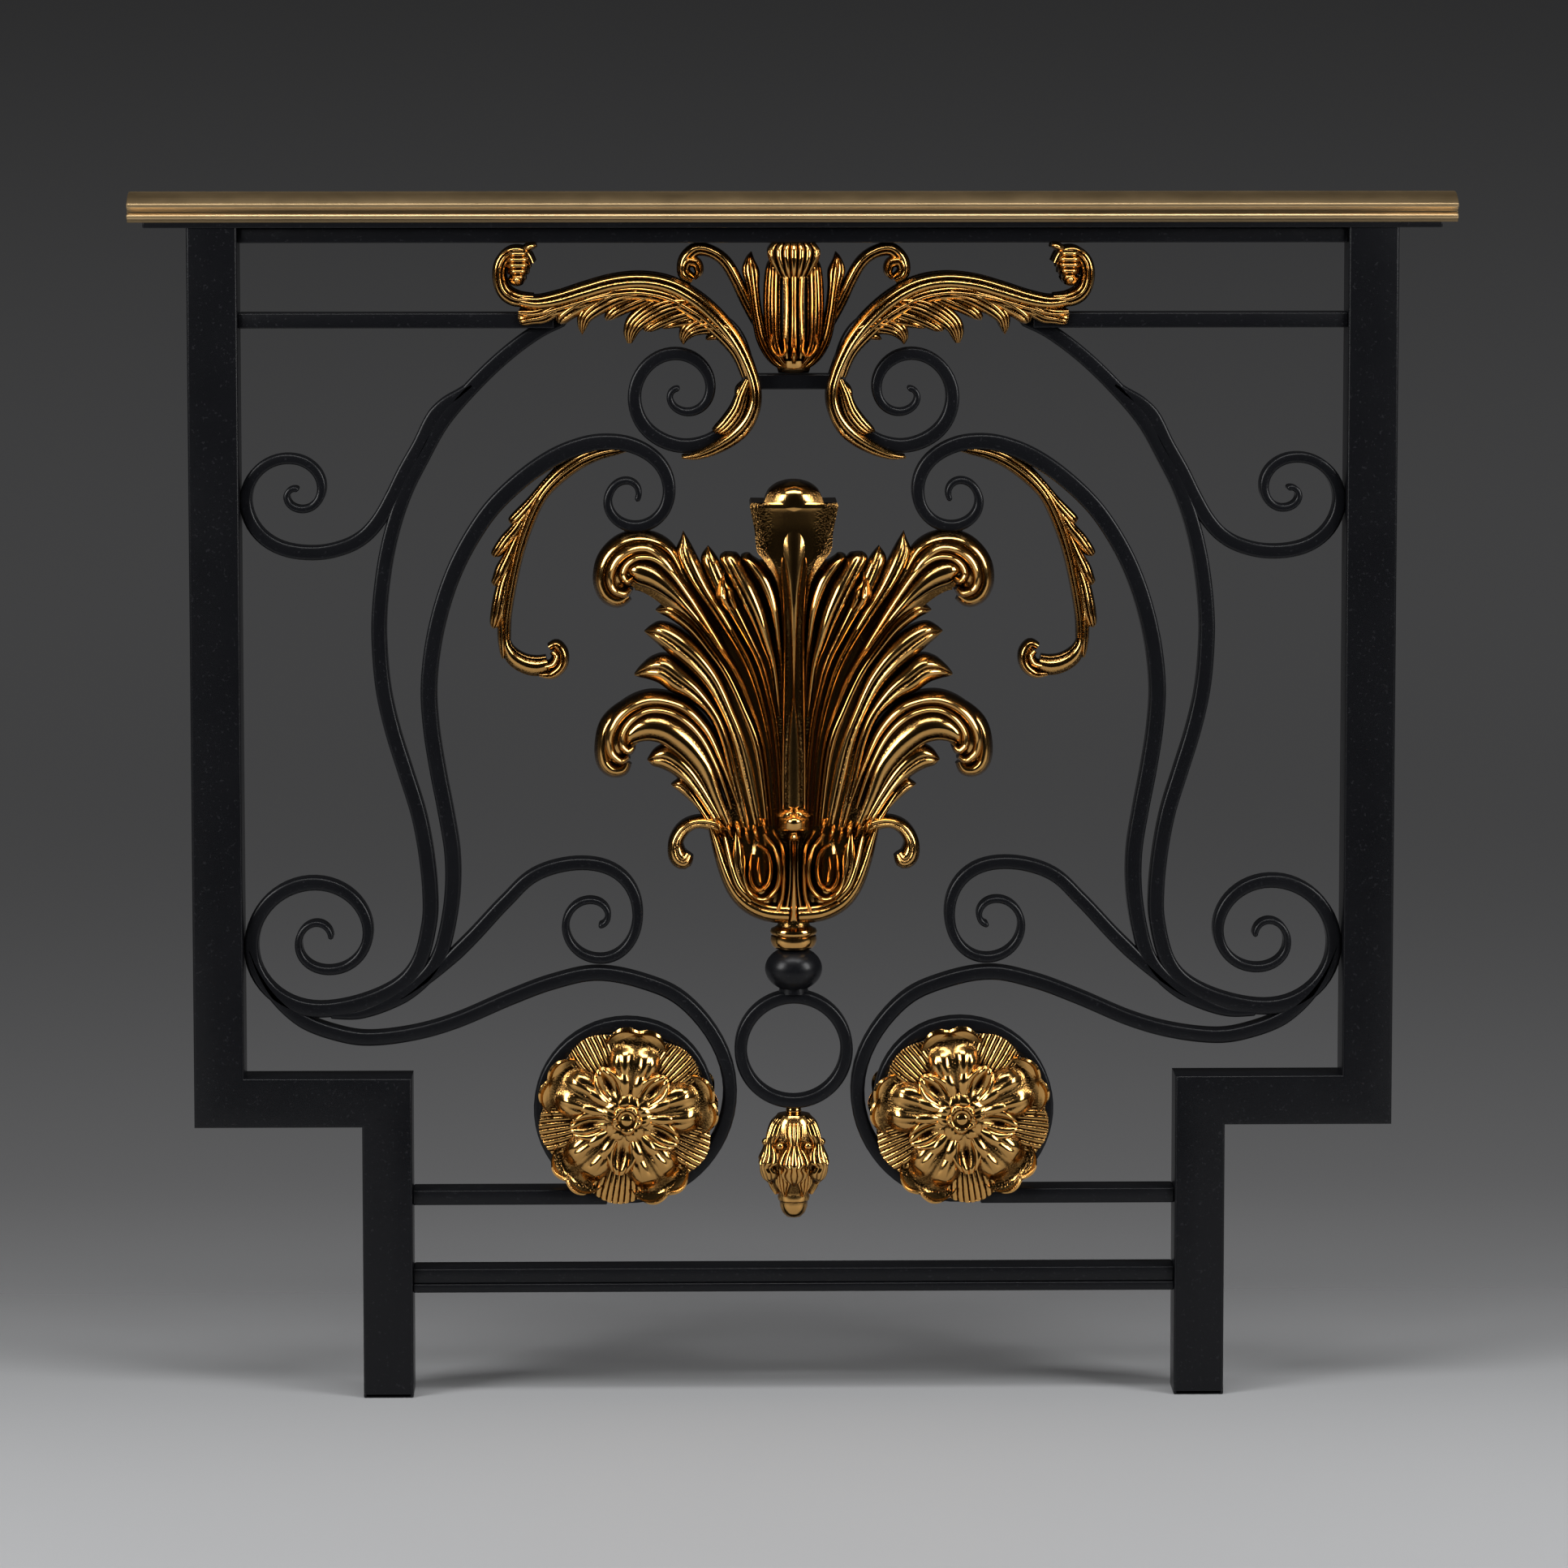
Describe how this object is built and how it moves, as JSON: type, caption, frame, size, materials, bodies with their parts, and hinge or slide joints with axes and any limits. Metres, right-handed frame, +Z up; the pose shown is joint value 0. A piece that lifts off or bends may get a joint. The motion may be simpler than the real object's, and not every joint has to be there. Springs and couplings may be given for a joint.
{
  "type": "ornamental metal screen panel",
  "caption": "Free-standing black wrought-iron scroll panel with brass leaf castings, rosettes and a brass top rail on two legs.",
  "frame": {"origin": "centre of the bounding box at floor level, under the middle of the two feet", "axes": "+X to the right seen from the front, -Y towards the front, +Z up"},
  "size_m": [1.052, 0.074, 0.9679],
  "materials": {
    "iron": "satin black paint over forged iron",
    "rail_brass": "satin lacquered moulded brass",
    "cast_brass": "polished cast brass with dark patina in the recesses",
    "fixing_steel": "plain zinc-grey steel fixings"
  },
  "bodies": {
    "root": {"handrail": "rail_brass", "rail_plate": "iron", "rail_screws": "fixing_steel", "top_bar": "iron", "left_post": "iron", "right_post": "iron", "left_step": "iron", "right_step": "iron", "left_leg": "iron", "right_leg": "iron", "foot_caps": "iron", "left_upper_bar": "iron", "right_upper_bar": "iron", "centre_tie": "iron", "left_lower_bar": "iron", "right_lower_bar": "iron", "bottom_bar": "iron", "bottom_flat": "iron", "left_shoulder_scroll": "iron", "right_shoulder_scroll": "iron", "left_post_scroll": "iron", "right_post_scroll": "iron", "left_inner_scroll": "iron", "right_inner_scroll": "iron", "left_crown_scroll": "iron", "right_crown_scroll": "iron", "left_branch_scroll": "iron", "right_branch_scroll": "iron", "left_base_scroll": "iron", "right_base_scroll": "iron", "left_boss": "iron", "right_boss": "iron", "centre_ring": "iron", "ball": "iron", "palmette_collar": "cast_brass", "palmette_front": "cast_brass", "palmette_back": "cast_brass", "palmette_pins": "iron", "cartouche_front": "cast_brass", "cartouche_back": "cast_brass", "left_spray_front": "cast_brass", "right_spray_front": "cast_brass", "left_spray_back": "cast_brass", "right_spray_back": "cast_brass", "left_husk": "cast_brass", "right_husk": "cast_brass", "drop_finial": "cast_brass", "finial_stem": "cast_brass", "left_rosette_front": "cast_brass", "right_rosette_front": "cast_brass", "left_rosette_back": "cast_brass", "right_rosette_back": "cast_brass", "rosette_buds": "cast_brass", "rosette_studs": "fixing_steel"}
  },
  "joints": []
}
